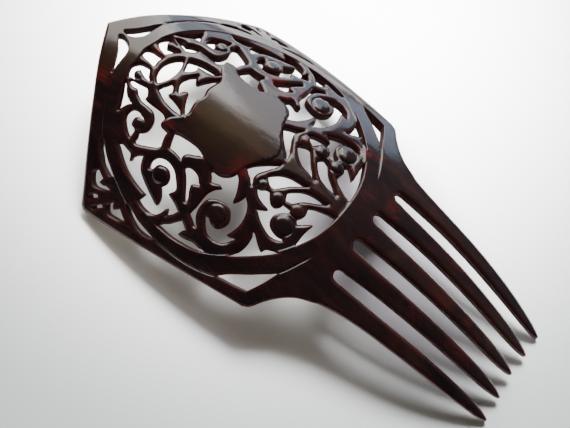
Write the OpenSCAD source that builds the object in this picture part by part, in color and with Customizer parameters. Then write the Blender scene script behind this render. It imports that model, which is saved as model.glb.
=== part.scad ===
// Back comb with a pierced heading and five tines, cut from one sheet and bent.
// The pattern is drawn flat: "along" runs from the top point towards the tines,
// "across" from the middle line outwards. Millimetres, Z up, lying on the ground.

/* [Sheet] */
// Thickness of the sheet
thickness = 3.2; // [2.6:0.1:3.6]
// Distance from the top point to the point where all the fold lines meet
fold_centre = 62; // [58:1:70]
// Half angle of the cone that the sheet is bent to
cone_angle = 28.7; // [27:0.1:32]
// Radius of the long curve from the top point to the tines
long_radius = 600; // [500:50:1500]
// Number of flat strips that stand for the bend, odd
strips = 15; // [11:2:23]

/* [Heading] */
// Distance along from the top point to the shoulders
shoulder_along = 25; // [24:0.5:26]
// Half width at the shoulders
shoulder_across = 47.5; // [46.5:0.1:48]
// Distance along from the top point to the lower corners
corner_along = 79.3; // [78.8:0.1:80]
// Half width at the lower corners
corner_across = 36.8; // [36.4:0.1:37.5]

/* [Tines] */
// How far the tips are bent down below the long curve
tip_drop = 6.7; // [4:0.1:9]
// Distance along at which that bend starts
bend_from = 100; // [98:1:106]
// Thickness left at the tips
tip_thickness = 1.6; // [1.2:0.2:2.4]

/* [Hidden] */
ca = cos(cone_angle);
sa = sin(cone_angle);
sheet_end = 97;
far = 260;

// Openings of one half, in order down the heading. Each row is
// [along, across], with a third value of 1 where the edge turns a sharp corner.
apex_drop = [[5.5, 1.5], [5.7, 0.9], [6.6, 0.6], [7.8, 0.8], [9.0, 1.4], [10.1, 2.6], [10.8, 4.2],
    [11.0, 6.8], [11.3, 11.0, 1], [10.0, 8.7], [9.2, 7.0], [7.7, 4.3], [6.5, 2.8]];
frame_sliver = [[15.4, 10.2, 1], [16.8, 11.0], [17.7, 11.8], [18.7, 12.8], [19.9, 13.4],
    [21.1, 13.9, 1], [20.4, 15.0], [19.8, 16.4], [19.2, 17.9, 1], [17.9, 15.1], [16.6, 12.4]];
crest_leaf = [[14.0, 6.1], [14.3, 4.8], [15.4, 3.4], [16.8, 2.7], [18.4, 2.3, 1], [19.0, 3.6],
    [19.7, 4.8], [20.8, 6.0, 1], [19.6, 6.35], [18.2, 6.0], [16.7, 5.4, 1], [16.2, 6.4],
    [16.6, 7.6, 1], [18.4, 7.3, 1], [17.2, 8.1], [15.6, 8.9, 1], [14.7, 8.0]];
stem_gap = [[16.3, 9.2], [16.8, 8.5], [18.6, 8.1], [21.0, 7.45, 1], [22.3, 8.2], [23.2, 9.4, 1],
    [23.3, 10.5, 1], [25.5, 10.5], [28.0, 10.35], [29.7, 10.6], [31.0, 11.4, 1], [30.9, 12.6],
    [31.5, 13.6], [33.9, 13.9, 1], [34.0, 15.2], [34.5, 16.8], [35.0, 18.1, 1], [33.9, 19.3],
    [31.0, 21.0], [28.6, 22.1, 1], [27.8, 21.4], [27.8, 20.3], [27.3, 19.0, 1], [28.4, 18.0],
    [29.0, 16.6], [28.9, 14.9], [28.4, 13.5], [27.2, 12.3], [25.2, 12.0], [23.0, 12.0],
    [21.8, 11.6], [20.6, 11.0], [19.6, 10.0, 1], [18.4, 10.3], [17.2, 10.0]];
upper_curl = [[21.55, 16.8], [22.0, 15.1], [23.0, 14.4], [24.8, 14.3, 1], [26.6, 15.4, 1],
    [24.9, 15.8], [24.35, 16.8], [24.7, 18.2], [26.3, 18.9], [26.6, 20.0], [26.5, 21.6, 1],
    [24.8, 20.9], [23.2, 19.6], [22.0, 18.3]];
fleur_side = [[23.8, 6.1], [24.1, 4.8], [24.7, 3.6], [25.4, 2.1, 1], [26.2, 2.3], [27.0, 3.1, 1],
    [27.6, 4.2], [27.6, 5.0, 1], [27.2, 5.6, 1], [29.0, 5.7], [31.0, 6.2], [32.4, 6.7, 1],
    [33.4, 8.1, 1], [31.5, 8.4], [29.0, 8.2], [27.0, 7.8], [25.2, 7.0]];
ring_gap = [[24.5, 25.0, 1], [25.9, 24.0], [27.4, 24.2], [29.3, 24.6], [30.3, 26.4, 1],
    [30.2, 25.3], [30.8, 24.2], [31.6, 23.4], [32.6, 23.0, 1], [33.0, 24.0], [33.8, 25.6],
    [34.7, 26.7], [36.0, 27.6], [38.0, 28.7], [40.5, 29.9], [43.3, 31.1, 1], [43.1, 29.6],
    [42.3, 28.0], [41.2, 26.6, 1], [41.9, 25.2], [41.8, 23.8], [41.1, 22.5], [40.0, 21.7],
    [38.6, 21.8], [37.4, 22.5], [36.9, 24.2, 1], [35.8, 24.9, 1], [35.1, 23.7], [35.0, 22.4],
    [35.6, 21.0], [36.9, 20.1], [38.6, 19.7], [40.2, 19.9], [42.0, 20.7], [43.8, 22.3],
    [45.2, 23.9], [45.4, 25.0], [44.5, 26.6, 1], [46.4, 27.2], [48.0, 27.8], [49.4, 28.6, 1],
    [48.7, 30.3], [47.2, 32.0, 1], [46.4, 30.1, 1], [46.0, 31.6], [45.1, 33.3], [43.6, 34.3],
    [41.6, 34.6], [39.8, 34.4], [38.1, 33.8, 1], [38.9, 31.3, 1], [37.0, 31.1], [34.5, 30.6],
    [32.0, 29.8], [29.5, 28.6], [27.0, 26.9]];
outer_crescent = [[20.1, 26.4, 1], [21.4, 27.1], [22.8, 28.3], [24.4, 29.7], [26.2, 30.9],
    [27.8, 31.9], [29.2, 32.8, 1], [27.8, 34.0, 1], [26.1, 33.5], [24.1, 32.4], [22.5, 30.7],
    [21.0, 29.0]];
sprig_top = [[22.8, 36.2], [23.4, 35.1], [24.3, 34.1, 1], [25.6, 34.7], [26.8, 35.3, 1],
    [26.4, 36.9, 1], [27.6, 36.9], [28.7, 36.4], [30.4, 36.7, 1], [29.0, 38.0], [27.3, 38.9],
    [25.6, 39.4], [24.4, 39.1], [23.4, 37.8]];
sprig_eye = [[25.1, 42.4], [25.6, 43.4], [26.2, 43.3], [27.3, 42.0], [28.2, 41.0], [27.8, 40.4],
    [27.0, 40.5], [26.0, 41.4]];
sprig_low_eye = [[27.8, 44.8], [28.4, 45.1], [29.1, 44.6], [30.2, 43.2], [31.0, 42.3],
    [30.6, 41.7], [29.8, 41.9], [28.7, 43.3]];
sprig_low = [[31.3, 40.9], [31.8, 40.0], [32.9, 38.7, 1], [33.4, 39.6], [34.0, 40.3, 1],
    [34.8, 39.5], [35.5, 38.8, 1], [36.9, 39.7], [38.6, 40.8, 1], [37.1, 42.1], [35.5, 42.6],
    [33.6, 43.1], [32.5, 42.9], [31.8, 42.0]];
side_crescent = [[36.0, 36.4, 1], [37.6, 36.4], [39.6, 37.1], [42.0, 37.9], [45.0, 38.4],
    [48.3, 38.9, 1], [47.0, 39.8], [44.8, 40.3], [42.4, 40.3], [40.2, 39.6], [37.7, 38.1]];
shield_gap = [[36.7, 17.0, 1], [35.8, 14.9], [35.1, 12.8, 1], [36.6, 12.2], [39.2, 11.8],
    [42.0, 11.7], [44.0, 12.1], [45.4, 12.9, 1], [43.6, 14.2], [42.1, 15.0], [41.3, 16.0],
    [41.3, 17.4, 1], [39.0, 17.0]];
crossing_gap = [[46.7, 35.4, 1], [47.8, 34.0], [49.3, 32.6], [50.6, 30.8], [51.6, 29.7, 1],
    [52.8, 30.4], [54.0, 31.2, 1], [53.4, 32.3], [53.0, 33.4, 1], [55.0, 33.1], [57.5, 32.4],
    [61.3, 32.6, 1], [60.0, 33.6], [57.5, 34.5], [54.0, 35.2], [50.5, 35.6]];
arch_leaf_gap = [[43.4, 18.4], [44.2, 17.4], [46.0, 17.2], [47.7, 17.7], [48.9, 18.7],
    [49.7, 19.7, 1], [48.7, 20.1], [47.8, 20.8, 1], [48.4, 22.3], [49.3, 23.7], [49.9, 25.2, 1],
    [48.9, 25.8, 1], [47.6, 23.9], [46.2, 21.8], [44.8, 20.0]];
big_curl = [[55.1, 29.3, 1], [53.4, 28.2], [51.8, 27.2, 1], [52.1, 24.4], [52.1, 21.4],
    [52.3, 19.6], [53.2, 17.7], [54.5, 16.4, 1], [53.5, 16.2], [52.3, 16.8], [51.2, 17.0, 1],
    [50.5, 15.9], [49.5, 14.8], [49.9, 14.1, 1], [51.6, 14.0], [53.0, 13.4], [54.3, 12.2],
    [55.2, 10.4, 1], [56.6, 11.4], [57.9, 13.4], [58.8, 15.2], [59.4, 17.3, 1], [60.2, 15.9],
    [60.8, 13.9, 1], [62.2, 14.8], [63.6, 16.6], [64.4, 18.9], [64.6, 21.3], [64.2, 23.6],
    [63.6, 25.1, 1], [65.8, 24.7, 1], [65.2, 26.3], [63.8, 27.9], [62.0, 28.7], [60.2, 28.8],
    [58.6, 28.4], [57.1, 27.1], [55.6, 25.1, 1], [56.6, 24.6], [58.2, 25.4], [60.0, 25.5],
    [61.1, 24.4], [61.6, 22.6], [61.0, 20.9], [59.7, 19.6], [57.6, 19.2], [55.4, 19.8],
    [53.8, 21.0], [53.3, 23.0], [53.5, 25.2], [54.3, 26.9], [55.9, 28.7, 1]];
first_leaf = [[60.3, 10.9, 1], [58.9, 9.8], [57.4, 9.0], [55.9, 7.8, 1], [57.2, 5.8],
    [58.7, 4.1], [60.4, 2.4], [62.6, 0.6, 1], [62.3, 2.6], [61.4, 4.0], [60.5, 5.6],
    [59.6, 7.2], [59.5, 8.8]];
bead_gap = [[61.6, 10.0, 1], [62.7, 9.7], [63.7, 8.8], [65.0, 8.5, 1], [66.0, 10.0],
    [67.3, 11.1], [68.5, 11.2], [69.5, 10.2], [69.8, 9.0, 1], [72.3, 8.9, 1], [72.7, 10.4, 1],
    [71.3, 11.4], [70.3, 12.6], [69.9, 13.8], [70.4, 15.4], [71.7, 16.4], [73.7, 16.8],
    [75.6, 16.5, 1], [75.9, 17.1, 1], [74.5, 18.1], [72.3, 18.4], [70.0, 17.8], [67.5, 16.6],
    [65.1, 14.8, 1], [66.3, 13.9], [67.5, 13.1, 1], [65.4, 12.8], [63.4, 12.1], [62.2, 11.1]];
second_leaf = [[61.9, 6.3], [62.1, 5.2], [63.2, 3.9], [64.8, 2.7], [66.8, 1.8], [69.2, 1.4],
    [72.0, 1.0, 1], [70.2, 2.8], [68.4, 4.4], [67.0, 6.0], [65.4, 7.9, 1], [64.2, 7.9],
    [63.0, 7.2]];
third_leaf = [[69.8, 8.4, 1], [69.0, 7.4], [68.6, 5.9], [70.0, 4.2], [72.0, 2.7], [74.2, 1.9],
    [76.5, 1.6], [79.0, 1.7, 1], [77.2, 3.3], [75.2, 4.5], [73.4, 5.8], [71.7, 7.8, 1]];
fan_foot = [[76.2, 11.5, 1], [75.3, 10.9], [75.0, 9.9, 1], [75.7, 9.0], [76.0, 8.0],
    [75.7, 6.9], [75.1, 5.8, 1], [77.0, 4.6], [79.0, 3.8], [81.0, 3.2], [82.9, 2.9, 1],
    [82.9, 5.5], [82.4, 8.4], [81.6, 11.2], [80.6, 13.6], [79.3, 16.0, 1], [78.8, 13.5],
    [78.9, 11.0], [79.3, 8.9, 1], [78.0, 10.0]];
curl_foot = [[67.0, 29.4, 1], [68.2, 27.6], [68.9, 25.6], [69.1, 23.4], [68.8, 21.4],
    [68.3, 20.0, 1], [69.5, 20.3], [71.2, 21.6], [73.2, 22.8, 1], [74.0, 21.3], [77.2, 20.1, 1],
    [75.0, 22.5], [73.0, 24.4], [71.0, 26.2], [69.0, 27.9]];
corner_gap = [[67.8, 35.7, 1], [69.6, 33.5], [72.0, 31.5], [74.5, 29.6], [77.2, 27.2],
    [80.3, 24.5, 1], [79.2, 28.0], [78.0, 30.9], [76.7, 33.6, 1], [73.0, 34.6]];

// Openings that stand on the middle line: the half that is drawn, from the line outwards
top_arch = [[13.5, 0], [13.8, 1.2], [14.9, 2.0], [16.8, 2.2], [18.8, 2.2], [18.75, 0]];
lens = [[20.1, 0], [20.5, 2.3], [21.4, 4.1], [22.7, 5.2], [23.7, 3.9], [24.5, 2.2], [24.95, 0]];
over_shield = [[27.0, 0], [27.3, 1.2], [27.9, 2.5], [28.9, 3.6], [29.6, 2.6], [30.2, 2.0],
    [30.8, 2.0], [31.4, 3.3], [32.2, 4.8], [33.1, 6.3], [34.3, 7.3], [34.7, 6.4], [34.5, 5.0],
    [34.15, 3.4], [34.1, 1.8], [34.7, 0]];

openings = [apex_drop, frame_sliver, crest_leaf, stem_gap, upper_curl, fleur_side, ring_gap,
    outer_crescent, sprig_top, sprig_eye, sprig_low_eye, sprig_low, side_crescent, shield_gap,
    crossing_gap, arch_leaf_gap, big_curl, first_leaf, bead_gap, second_leaf, third_leaf,
    fan_foot, curl_foot, corner_gap];
middle_openings = [top_arch, lens, over_shield];

// Edge of the flat sheet from the top point down one side to the start of the tines
edge = [[0.9, 0, 1], [1.1, 1.2], [6.1, 10.2], [12.0, 20.2], [17.4, 30.2],
    [22.4, 40.6], [shoulder_along - 0.3, shoulder_across - 1, 1],
    [shoulder_along + 0.9, shoulder_across, 1],
    [corner_along - 1.2, corner_across + 0.4, 1], [corner_along + 0.6, corner_across - 0.9],
    [82.0, 32.4], [84.8, 29.0], [88.0, 26.4], [92.0, 24.6], [sheet_end - 1.1, 23.1, 1]];

// Tines, with rows of [along, inner edge, outer edge] from the root to the tip
middle_tine = [[95, -2.9, 2.9], [102, -2.6, 2.6], [110, -2.4, 2.4], [120, -2.2, 2.2],
    [130, -2.05, 2.05], [138, -1.8, 1.8], [144, -1.5, 1.5], [148, -0.95, 0.95],
    [149.7, -0.45, 0.45], [150.2, -0.15, 0.15]];
inner_tine = [[95, 7.05, 13.1], [102, 7.15, 12.5], [110, 7.1, 12.0], [120, 6.85, 11.4],
    [130, 6.6, 10.7], [138, 6.4, 10.1], [144, 6.4, 9.5], [148, 6.7, 8.8],
    [150.3, 7.2, 8.2], [151.1, 7.6, 7.8]];
outer_tine = [[95, 17.0, 24.0], [102, 16.85, 22.6], [110, 16.6, 21.5], [120, 15.95, 20.5],
    [130, 15.2, 19.4], [138, 14.7, 18.4], [144, 14.4, 17.4], [148.3, 14.4, 16.6],
    [150.8, 14.7, 15.8], [151.6, 15.1, 15.4]];
tip_along = 150.2;

// Slots between the tines, with rows of [along at the top of the round head, inner, outer]
slots = [[91.4, 2.9, 7.05], [92.5, 13.1, 17.0]];

// Smooth closed outline through the rows of a table
function row(p, i) = p[(i + len(p)) % len(p)];
function placed(u, w) = [w <= 0 ? w : w - 0.5 + 0.036 * u + 0.027 * w - 0.00038 * u * u
    + 0.00033 * u * w - 0.00102 * w * w, 0.1 - 1.016 * u - 0.021 * w + 0.0005 * u * w - 0.0005 * w * w];
function spot(p, i) = placed(row(p, i)[0], row(p, i)[1]);
function leave(p, i) = row(p, i)[2] == 1 ? spot(p, i + 1) - spot(p, i) : (spot(p, i + 1) - spot(p, i - 1)) / 2;
function arrive(p, i) = row(p, i)[2] == 1 ? spot(p, i) - spot(p, i - 1) : (spot(p, i + 1) - spot(p, i - 1)) / 2;
function between(a, b, ta, tb, t) = (2 * t * t * t - 3 * t * t + 1) * a + (t * t * t - 2 * t * t + t) * ta
    + (3 * t * t - 2 * t * t * t) * b + (t * t * t - t * t) * tb;
function steps(p, i) = row(p, i)[2] == 1 && row(p, i + 1)[2] == 1 ? 1
    : norm(spot(p, i + 1) - spot(p, i)) > 2.1 ? 2 : 1;
function smooth(p) = [for (i = [0 : len(p) - 1]) for (k = [0 : steps(p, i) - 1])
    between(spot(p, i), spot(p, i + 1), leave(p, i), arrive(p, i + 1), k / steps(p, i))];
function both_sides(p) = concat([for (r = p) placed(r[0], r[1])],
    [for (i = [len(p) - 1 : -1 : 0]) if (p[i][1] > 0) [-placed(p[i][0], p[i][1]).x, placed(p[i][0], p[i][1]).y]]);
function half_edge(p) = [for (i = [0 : len(p) - 2]) for (k = [0 : steps(p, i) - 1])
    between(spot(p, i), spot(p, i + 1), i == 0 ? spot(p, 1) - spot(p, 0) : leave(p, i),
        i == len(p) - 2 ? spot(p, i + 1) - spot(p, i) : arrive(p, i + 1), k / steps(p, i))];

// Height of the long curve and its slope at a distance x along
function crest(x) = -pow(x - 60, 2) / (2 * long_radius) - pow(max(0, x - bend_from), 2) * tip_drop / 2500;
function slope(x) = atan((x - 60) / long_radius + 2 * max(0, x - bend_from) * tip_drop / 2500);

// A point of the bent sheet from its place on the flat one and its depth below the face
function coned(u, w, d) = let (r = norm([u + fold_centre, w]), turn = atan2(w, u + fold_centre) / sa)
    [r * sa * sin(turn) - d * ca * sin(turn),
     fold_centre - r * (ca * ca + sa * sa * cos(turn)) + d * ca * sa * (cos(turn) - 1),
     -r * sa * ca * (1 - cos(turn)) - d * (sa * sa + ca * ca * cos(turn))];
function sheet(u, w, d) = let (x = -coned(u, w, 0).y, q = coned(u, w, d / cos(slope(x))))
    [q.x, q.y, q.z + crest(-q.y)];

// Tilt and lift that set the shoulders and the outer tips on the ground, and the middle along
foot_a = sheet(shoulder_along + 2.3, shoulder_across - 0.6, thickness + 0.12);
foot_b = sheet(151.6, 15.1, tip_thickness + 0.58);
tilt = atan((foot_b.z - foot_a.z) / (foot_a.y - foot_b.y));
lift = -(foot_a.y * sin(tilt) + foot_a.z * cos(tilt));
end_a = sheet(0.8, 0, 0);
end_b = sheet(151.6, 15.2, thickness / 2);
middle = ((end_a.y + end_b.y) * cos(tilt) - (end_a.z + end_b.z) * sin(tilt)) / 2;

module flat_pattern() {
    side_edge = half_edge(edge);
    difference() {
        polygon(concat(side_edge, [[23.6, -sheet_end], [-23.6, -sheet_end]],
            [for (q = [len(side_edge) - 1 : -1 : 1]) [-side_edge[q].x, side_edge[q].y]]));
        for (side = [-1, 1], p = openings)
            scale([side, 1]) polygon(smooth(p));
        for (p = middle_openings)
            polygon(both_sides(p));
        for (side = [-1, 1], q = slots)
            scale([side, 1]) slot(q);
    }
}

// Round-headed slot between two tines
module slot(q) {
    wide = q[2] - q[1];
    translate([q[1] + wide / 2, -q[0] - wide / 2])
        circle(d = wide, $fn = 20);
    translate([q[1], -far])
        square([wide, far - q[0] - wide / 2]);
}

// One flat strip of the cone: the pattern cut to a sector and turned about the cone's axis
module strip(i) {
    step = 58 / strips;
    turn = 2 * atan(tan(step / 2) / sa);
    translate([0, fold_centre, 0])
        rotate(a = i * turn, v = [0, ca, sa])
            rotate([0, 0, -i * step])
                translate([0, 0, -thickness])
                    linear_extrude(thickness)
                        intersection() {
                            translate([0, -fold_centre])
                                flat_pattern();
                            polygon([[0, 0],
                                [far * sin((i - 0.5005) * step), -far * cos((i - 0.5005) * step)],
                                [far * sin((i + 0.5005) * step), -far * cos((i + 0.5005) * step)]]);
                        }
}

// The heading between two distances along, leaned so that the lengths follow the long curve
module length_of(from, to) {
    lean = (crest(to) - crest(from)) / (to - from);
    multmatrix([[1, 0, 0, 0], [0, 1, 0, 0], [0, -lean, 1, crest(from) - lean * from], [0, 0, 0, 1]])
        intersection() {
            for (i = [-(strips - 1) / 2 : (strips - 1) / 2])
                strip(i);
            translate([-60, -to - 0.004, -60])
                cube([120, to - from + 0.008, 70]);
        }
}

// Cross-section of a tine at row j of its table, as eight points of the bent sheet
function tine_at(p, j, side) =
    let (u = p[j][0], half = (p[j][2] - p[j][1]) / 2,
         t = tip_thickness + (thickness - tip_thickness) * (1 - pow((u - 95) / 57, 2)),
         up = (thickness - t) / 3, b = j == 0 ? 0 : min(0.6 * half, 0.8),
         q = [[p[j][1], up + b * 0.6], [p[j][1] + b, up], [p[j][2] - b, up], [p[j][2], up + b * 0.6],
              [p[j][2], up + t - b * 0.6], [p[j][2] - b, up + t], [p[j][1] + b, up + t],
              [p[j][1], up + t - b * 0.6]])
    [for (e = q) sheet(u, side * e[0], e[1])];

module tine(p, side) {
    for (j = [0 : len(p) - 2])
        hull()
            polyhedron(concat(tine_at(p, j, side), tine_at(p, j + 1, side)),
                [[0, 1, 2, 3, 4, 5, 6, 7], [15, 14, 13, 12, 11, 10, 9, 8]]);
}

module comb() {
    color("#3a1c16")
        translate([0, -middle, lift])
            rotate([tilt, 0, 0])
                union() {
                    length_of(-4, 28);
                    length_of(28, 62);
                    length_of(62, sheet_end + 3);
                    tine(middle_tine, 1);
                    for (side = [-1, 1]) {
                        tine(inner_tine, side);
                        tine(outer_tine, side);
                    }
                }
}

comb();
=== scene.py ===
import bpy
import numpy as np
from mathutils import Euler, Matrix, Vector
from mathutils.geometry import delaunay_2d_cdt


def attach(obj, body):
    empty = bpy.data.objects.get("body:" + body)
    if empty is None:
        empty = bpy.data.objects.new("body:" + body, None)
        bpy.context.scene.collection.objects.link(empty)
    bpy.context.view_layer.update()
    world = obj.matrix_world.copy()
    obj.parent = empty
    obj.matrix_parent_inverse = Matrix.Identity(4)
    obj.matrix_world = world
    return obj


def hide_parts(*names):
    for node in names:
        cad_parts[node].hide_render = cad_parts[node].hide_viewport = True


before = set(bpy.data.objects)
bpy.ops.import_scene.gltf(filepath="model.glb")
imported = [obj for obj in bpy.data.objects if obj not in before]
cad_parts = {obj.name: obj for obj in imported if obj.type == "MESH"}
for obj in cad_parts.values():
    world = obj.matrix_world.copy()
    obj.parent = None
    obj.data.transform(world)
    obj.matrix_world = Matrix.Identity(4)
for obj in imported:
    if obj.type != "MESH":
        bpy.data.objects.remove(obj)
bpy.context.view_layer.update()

# The comb starts as a flat sheet of glossy brown plastic, about 3 mm thick. The sheet is warmed and
# pressed over a cone-shaped former, so its folds run to one point above the top point. Places on it
# are (along, across) in millimetres: along from the top point, across from the middle line.

sheet_thick = 3.2
tip_thick = 1.6
fold_point = 62.0
cone_half_angle = np.radians(28.7)
long_radius = 600
crest_at = 60
bend_start = 100.0
bend_length = 50
tip_drop = 6.7

# The finished comb is leant and raised to lie on its two shoulders and its two outer tips.

lean = np.radians(2.45789)
raise_by = 23.9435
centre_by = 75.7105


def long_curve(x):
    """Height of the sheet at x along: a flat parabola down from its crest, and past the slots a
    steeper one as well."""
    past = np.maximum(x - bend_start, 0)
    return -((x - crest_at) ** 2) / (2 * long_radius) - past**2 * tip_drop / bend_length**2


def long_slope(x):
    """Slope of the long curve at x along, which is its height's derivative with the sign turned."""
    past = np.maximum(x - bend_start, 0)
    return (x - crest_at) / long_radius + 2 * past * tip_drop / bend_length**2


def on_sheet(along, across, depth):
    """Point of the bent sheet in metres: the ray from the fold point to the flat point is wound on
    a cone, moved in along the cone's normal by the depth, which is measured square to the long
    curve, then dropped by that curve, leant and laid down."""
    sa, ca = np.sin(cone_half_angle), np.cos(cone_half_angle)
    ray = np.hypot(along + fold_point, across)
    turn = np.arctan2(across, along + fold_point) / sa
    x_face = ray * (ca * ca + sa * sa * np.cos(turn)) - fold_point
    depth = depth * np.sqrt(1 + long_slope(x_face) ** 2)
    side = ray * sa * np.sin(turn) - depth * ca * np.sin(turn)
    x = x_face - depth * ca * sa * (np.cos(turn) - 1)
    up = -ray * sa * ca * (1 - np.cos(turn)) - depth * (sa * sa + ca * ca * np.cos(turn))
    up = up + long_curve(x)
    y = -x * np.cos(lean) - up * np.sin(lean) + centre_by
    z = -x * np.sin(lean) + up * np.cos(lean) + raise_by
    return np.stack([side, y, z], -1) / 1000


# The heading is pierced with a fret saw through drilled holes, along a pattern drawn on one half
# and turned over for the other: scrolls with buds, twigs, a blank shield and a fan of leaves. Each
# opening is a list of (along, across) on the drawing, with a third value 1 at a sharp corner.

apex_drop = [(5.5, 1.5), (5.7, 0.9), (6.6, 0.6), (7.8, 0.8), (9, 1.4), (10.1, 2.6), (10.8, 4.2),
    (11, 6.8), (11.3, 11, 1), (10, 8.7), (9.2, 7), (7.7, 4.3), (6.5, 2.8)]
frame_sliver = [(15.4, 10.2, 1), (16.8, 11), (17.7, 11.8), (18.7, 12.8), (19.9, 13.4),
    (21.1, 13.9, 1), (20.4, 15), (19.8, 16.4), (19.2, 17.9, 1), (17.9, 15.1), (16.6, 12.4)]
crest_leaf = [(14, 6.1), (14.3, 4.8), (15.4, 3.4), (16.8, 2.9), (18.3, 2.65, 1), (19, 3.6),
    (19.7, 4.8), (20.8, 6, 1), (19.6, 6.35), (18.2, 6), (16.7, 5.4, 1), (16.2, 6.4),
    (16.6, 7.6, 1), (18.4, 7.3, 1), (17.2, 8.1), (15.6, 8.9, 1), (14.7, 8)]
stem_gap = [(16.3, 9.2), (16.8, 8.5), (18.6, 8.1), (21, 7.45, 1), (22.3, 8.2), (23.2, 9.4, 1),
    (23.3, 10.5, 1), (25.5, 10.5), (28, 10.35), (29.7, 10.6), (31, 11.4, 1), (30.9, 12.6),
    (31.5, 13.6), (33.9, 13.9, 1), (34, 15.2), (34.5, 16.8), (35, 18.1, 1), (33.9, 19.3), (31, 21),
    (28.6, 22.1, 1), (27.8, 21.4), (27.8, 20.3), (27.3, 19, 1), (28.4, 18), (29, 16.6),
    (28.9, 14.9), (28.4, 13.5), (27.2, 12.3), (25.2, 12), (23, 12), (21.8, 11.6), (20.6, 11),
    (19.6, 10, 1), (18.4, 10.3), (17.2, 10)]
upper_curl = [(21.55, 16.8), (22, 15.1), (23, 14.4), (24.8, 14.3, 1), (26.6, 15.4, 1),
    (24.9, 15.8), (24.35, 16.8), (24.7, 18.2), (26.3, 18.9), (26.6, 20), (26.5, 21.6, 1),
    (24.8, 20.9), (23.2, 19.6), (22, 18.3)]
fleur_side = [(23.8, 6.1), (24.1, 4.8), (24.7, 3.6), (25.4, 2.1, 1), (26.2, 2.3), (27, 3.1, 1),
    (27.6, 4.2), (27.6, 5, 1), (27.2, 5.6, 1), (29, 5.7), (31, 6.2), (32.4, 6.7, 1),
    (33.4, 8.1, 1), (31.5, 8.4), (29, 8.2), (27, 7.8), (25.2, 7)]
ring_gap = [(24.5, 25, 1), (25.9, 24), (27.4, 24.2), (29.3, 24.6), (30.3, 26.4, 1), (30.2, 25.3),
    (30.8, 24.2), (31.6, 23.4), (32.6, 23, 1), (33, 24), (33.8, 25.6), (34.7, 26.7), (36, 27.6),
    (38, 28.7), (40.5, 29.9), (43.3, 31.1, 1), (43.1, 29.6), (42.3, 28), (41.2, 26.6, 1),
    (41.9, 25.2), (41.8, 23.8), (41.1, 22.5), (40, 21.7), (38.6, 21.8), (37.4, 22.5),
    (36.9, 24.2, 1), (35.8, 24.9, 1), (35.1, 23.7), (35, 22.4), (35.6, 21), (36.9, 20.1),
    (38.6, 19.7), (40.2, 19.9), (42, 20.7), (43.8, 22.3), (45.2, 23.9), (45.4, 25),
    (44.5, 26.6, 1), (46.4, 27.2), (48, 27.8), (49.4, 28.6, 1), (48.7, 30.3), (47.2, 32, 1),
    (46.4, 30.1, 1), (46, 31.6), (45.1, 33.3), (43.6, 34.3), (41.6, 34.6), (39.8, 34.4),
    (38.1, 33.8, 1), (38.9, 31.3, 1), (37, 31.1), (34.5, 30.6), (32, 29.8), (29.5, 28.6),
    (27, 26.9)]
outer_crescent = [(20.1, 26.4, 1), (21.4, 27.1), (22.8, 28.3), (24.4, 29.7), (26.2, 30.9),
    (27.8, 31.9), (29.2, 32.8, 1), (27.8, 34, 1), (26.1, 33.5), (24.1, 32.4), (22.5, 30.7),
    (21, 29)]
sprig_top = [(22.8, 36.2), (23.4, 35.1), (24.3, 34.1, 1), (25.6, 34.7), (26.8, 35.3, 1),
    (26.4, 36.9, 1), (27.6, 36.9), (28.7, 36.4), (30.4, 36.7, 1), (29, 38), (27.3, 38.9),
    (25.6, 39.4), (24.4, 39.1), (23.4, 37.8)]
sprig_eye = [(25.1, 42.4), (25.6, 43.4), (26.2, 43.3), (27.3, 42), (28.2, 41), (27.8, 40.4),
    (27, 40.5), (26, 41.4)]
sprig_low_eye = [(27.8, 44.8), (28.4, 45.1), (29.1, 44.6), (30.2, 43.2), (31, 42.3), (30.6, 41.7),
    (29.8, 41.9), (28.7, 43.3)]
sprig_low = [(31.3, 40.9), (31.8, 40), (32.9, 38.7, 1), (33.4, 39.6), (34, 40.3, 1), (34.8, 39.5),
    (35.5, 38.8, 1), (36.9, 39.7), (38.6, 40.8, 1), (37.1, 42.1), (35.5, 42.6), (33.6, 43.1),
    (32.5, 42.9), (31.8, 42)]
side_crescent = [(36, 36.4, 1), (37.6, 36.4), (39.6, 37.1), (42, 37.9), (45, 38.4),
    (48.3, 38.9, 1), (47, 39.8), (44.8, 40.3), (42.4, 40.3), (40.2, 39.6), (37.7, 38.1)]
shield_gap = [(36.7, 17, 1), (35.8, 14.9), (35.1, 12.8, 1), (36.6, 12.2), (39.2, 11.8), (42, 11.7),
    (44, 12.1), (45.4, 12.9, 1), (43.6, 14.2), (42.1, 15), (41.3, 16), (41.3, 17.4, 1), (39, 17)]
crossing_gap = [(46.7, 35.4, 1), (47.8, 34), (49.3, 32.6), (50.6, 30.8), (51.6, 29.7, 1),
    (52.8, 30.4), (54, 31.2, 1), (53.4, 32.3), (53, 33.4, 1), (55, 33.1), (57.5, 32.4),
    (61.3, 32.6, 1), (60, 33.6), (57.5, 34.5), (54, 35.2), (50.5, 35.6)]
arch_leaf_gap = [(43.4, 18.4), (44.2, 17.4), (46, 17.2), (47.7, 17.7), (48.9, 18.7),
    (49.7, 19.7, 1), (48.7, 20.1), (47.8, 20.8, 1), (48.4, 22.3), (49.3, 23.7), (49.9, 25.2, 1),
    (48.9, 25.8, 1), (47.6, 23.9), (46.2, 21.8), (44.8, 20)]
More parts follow.
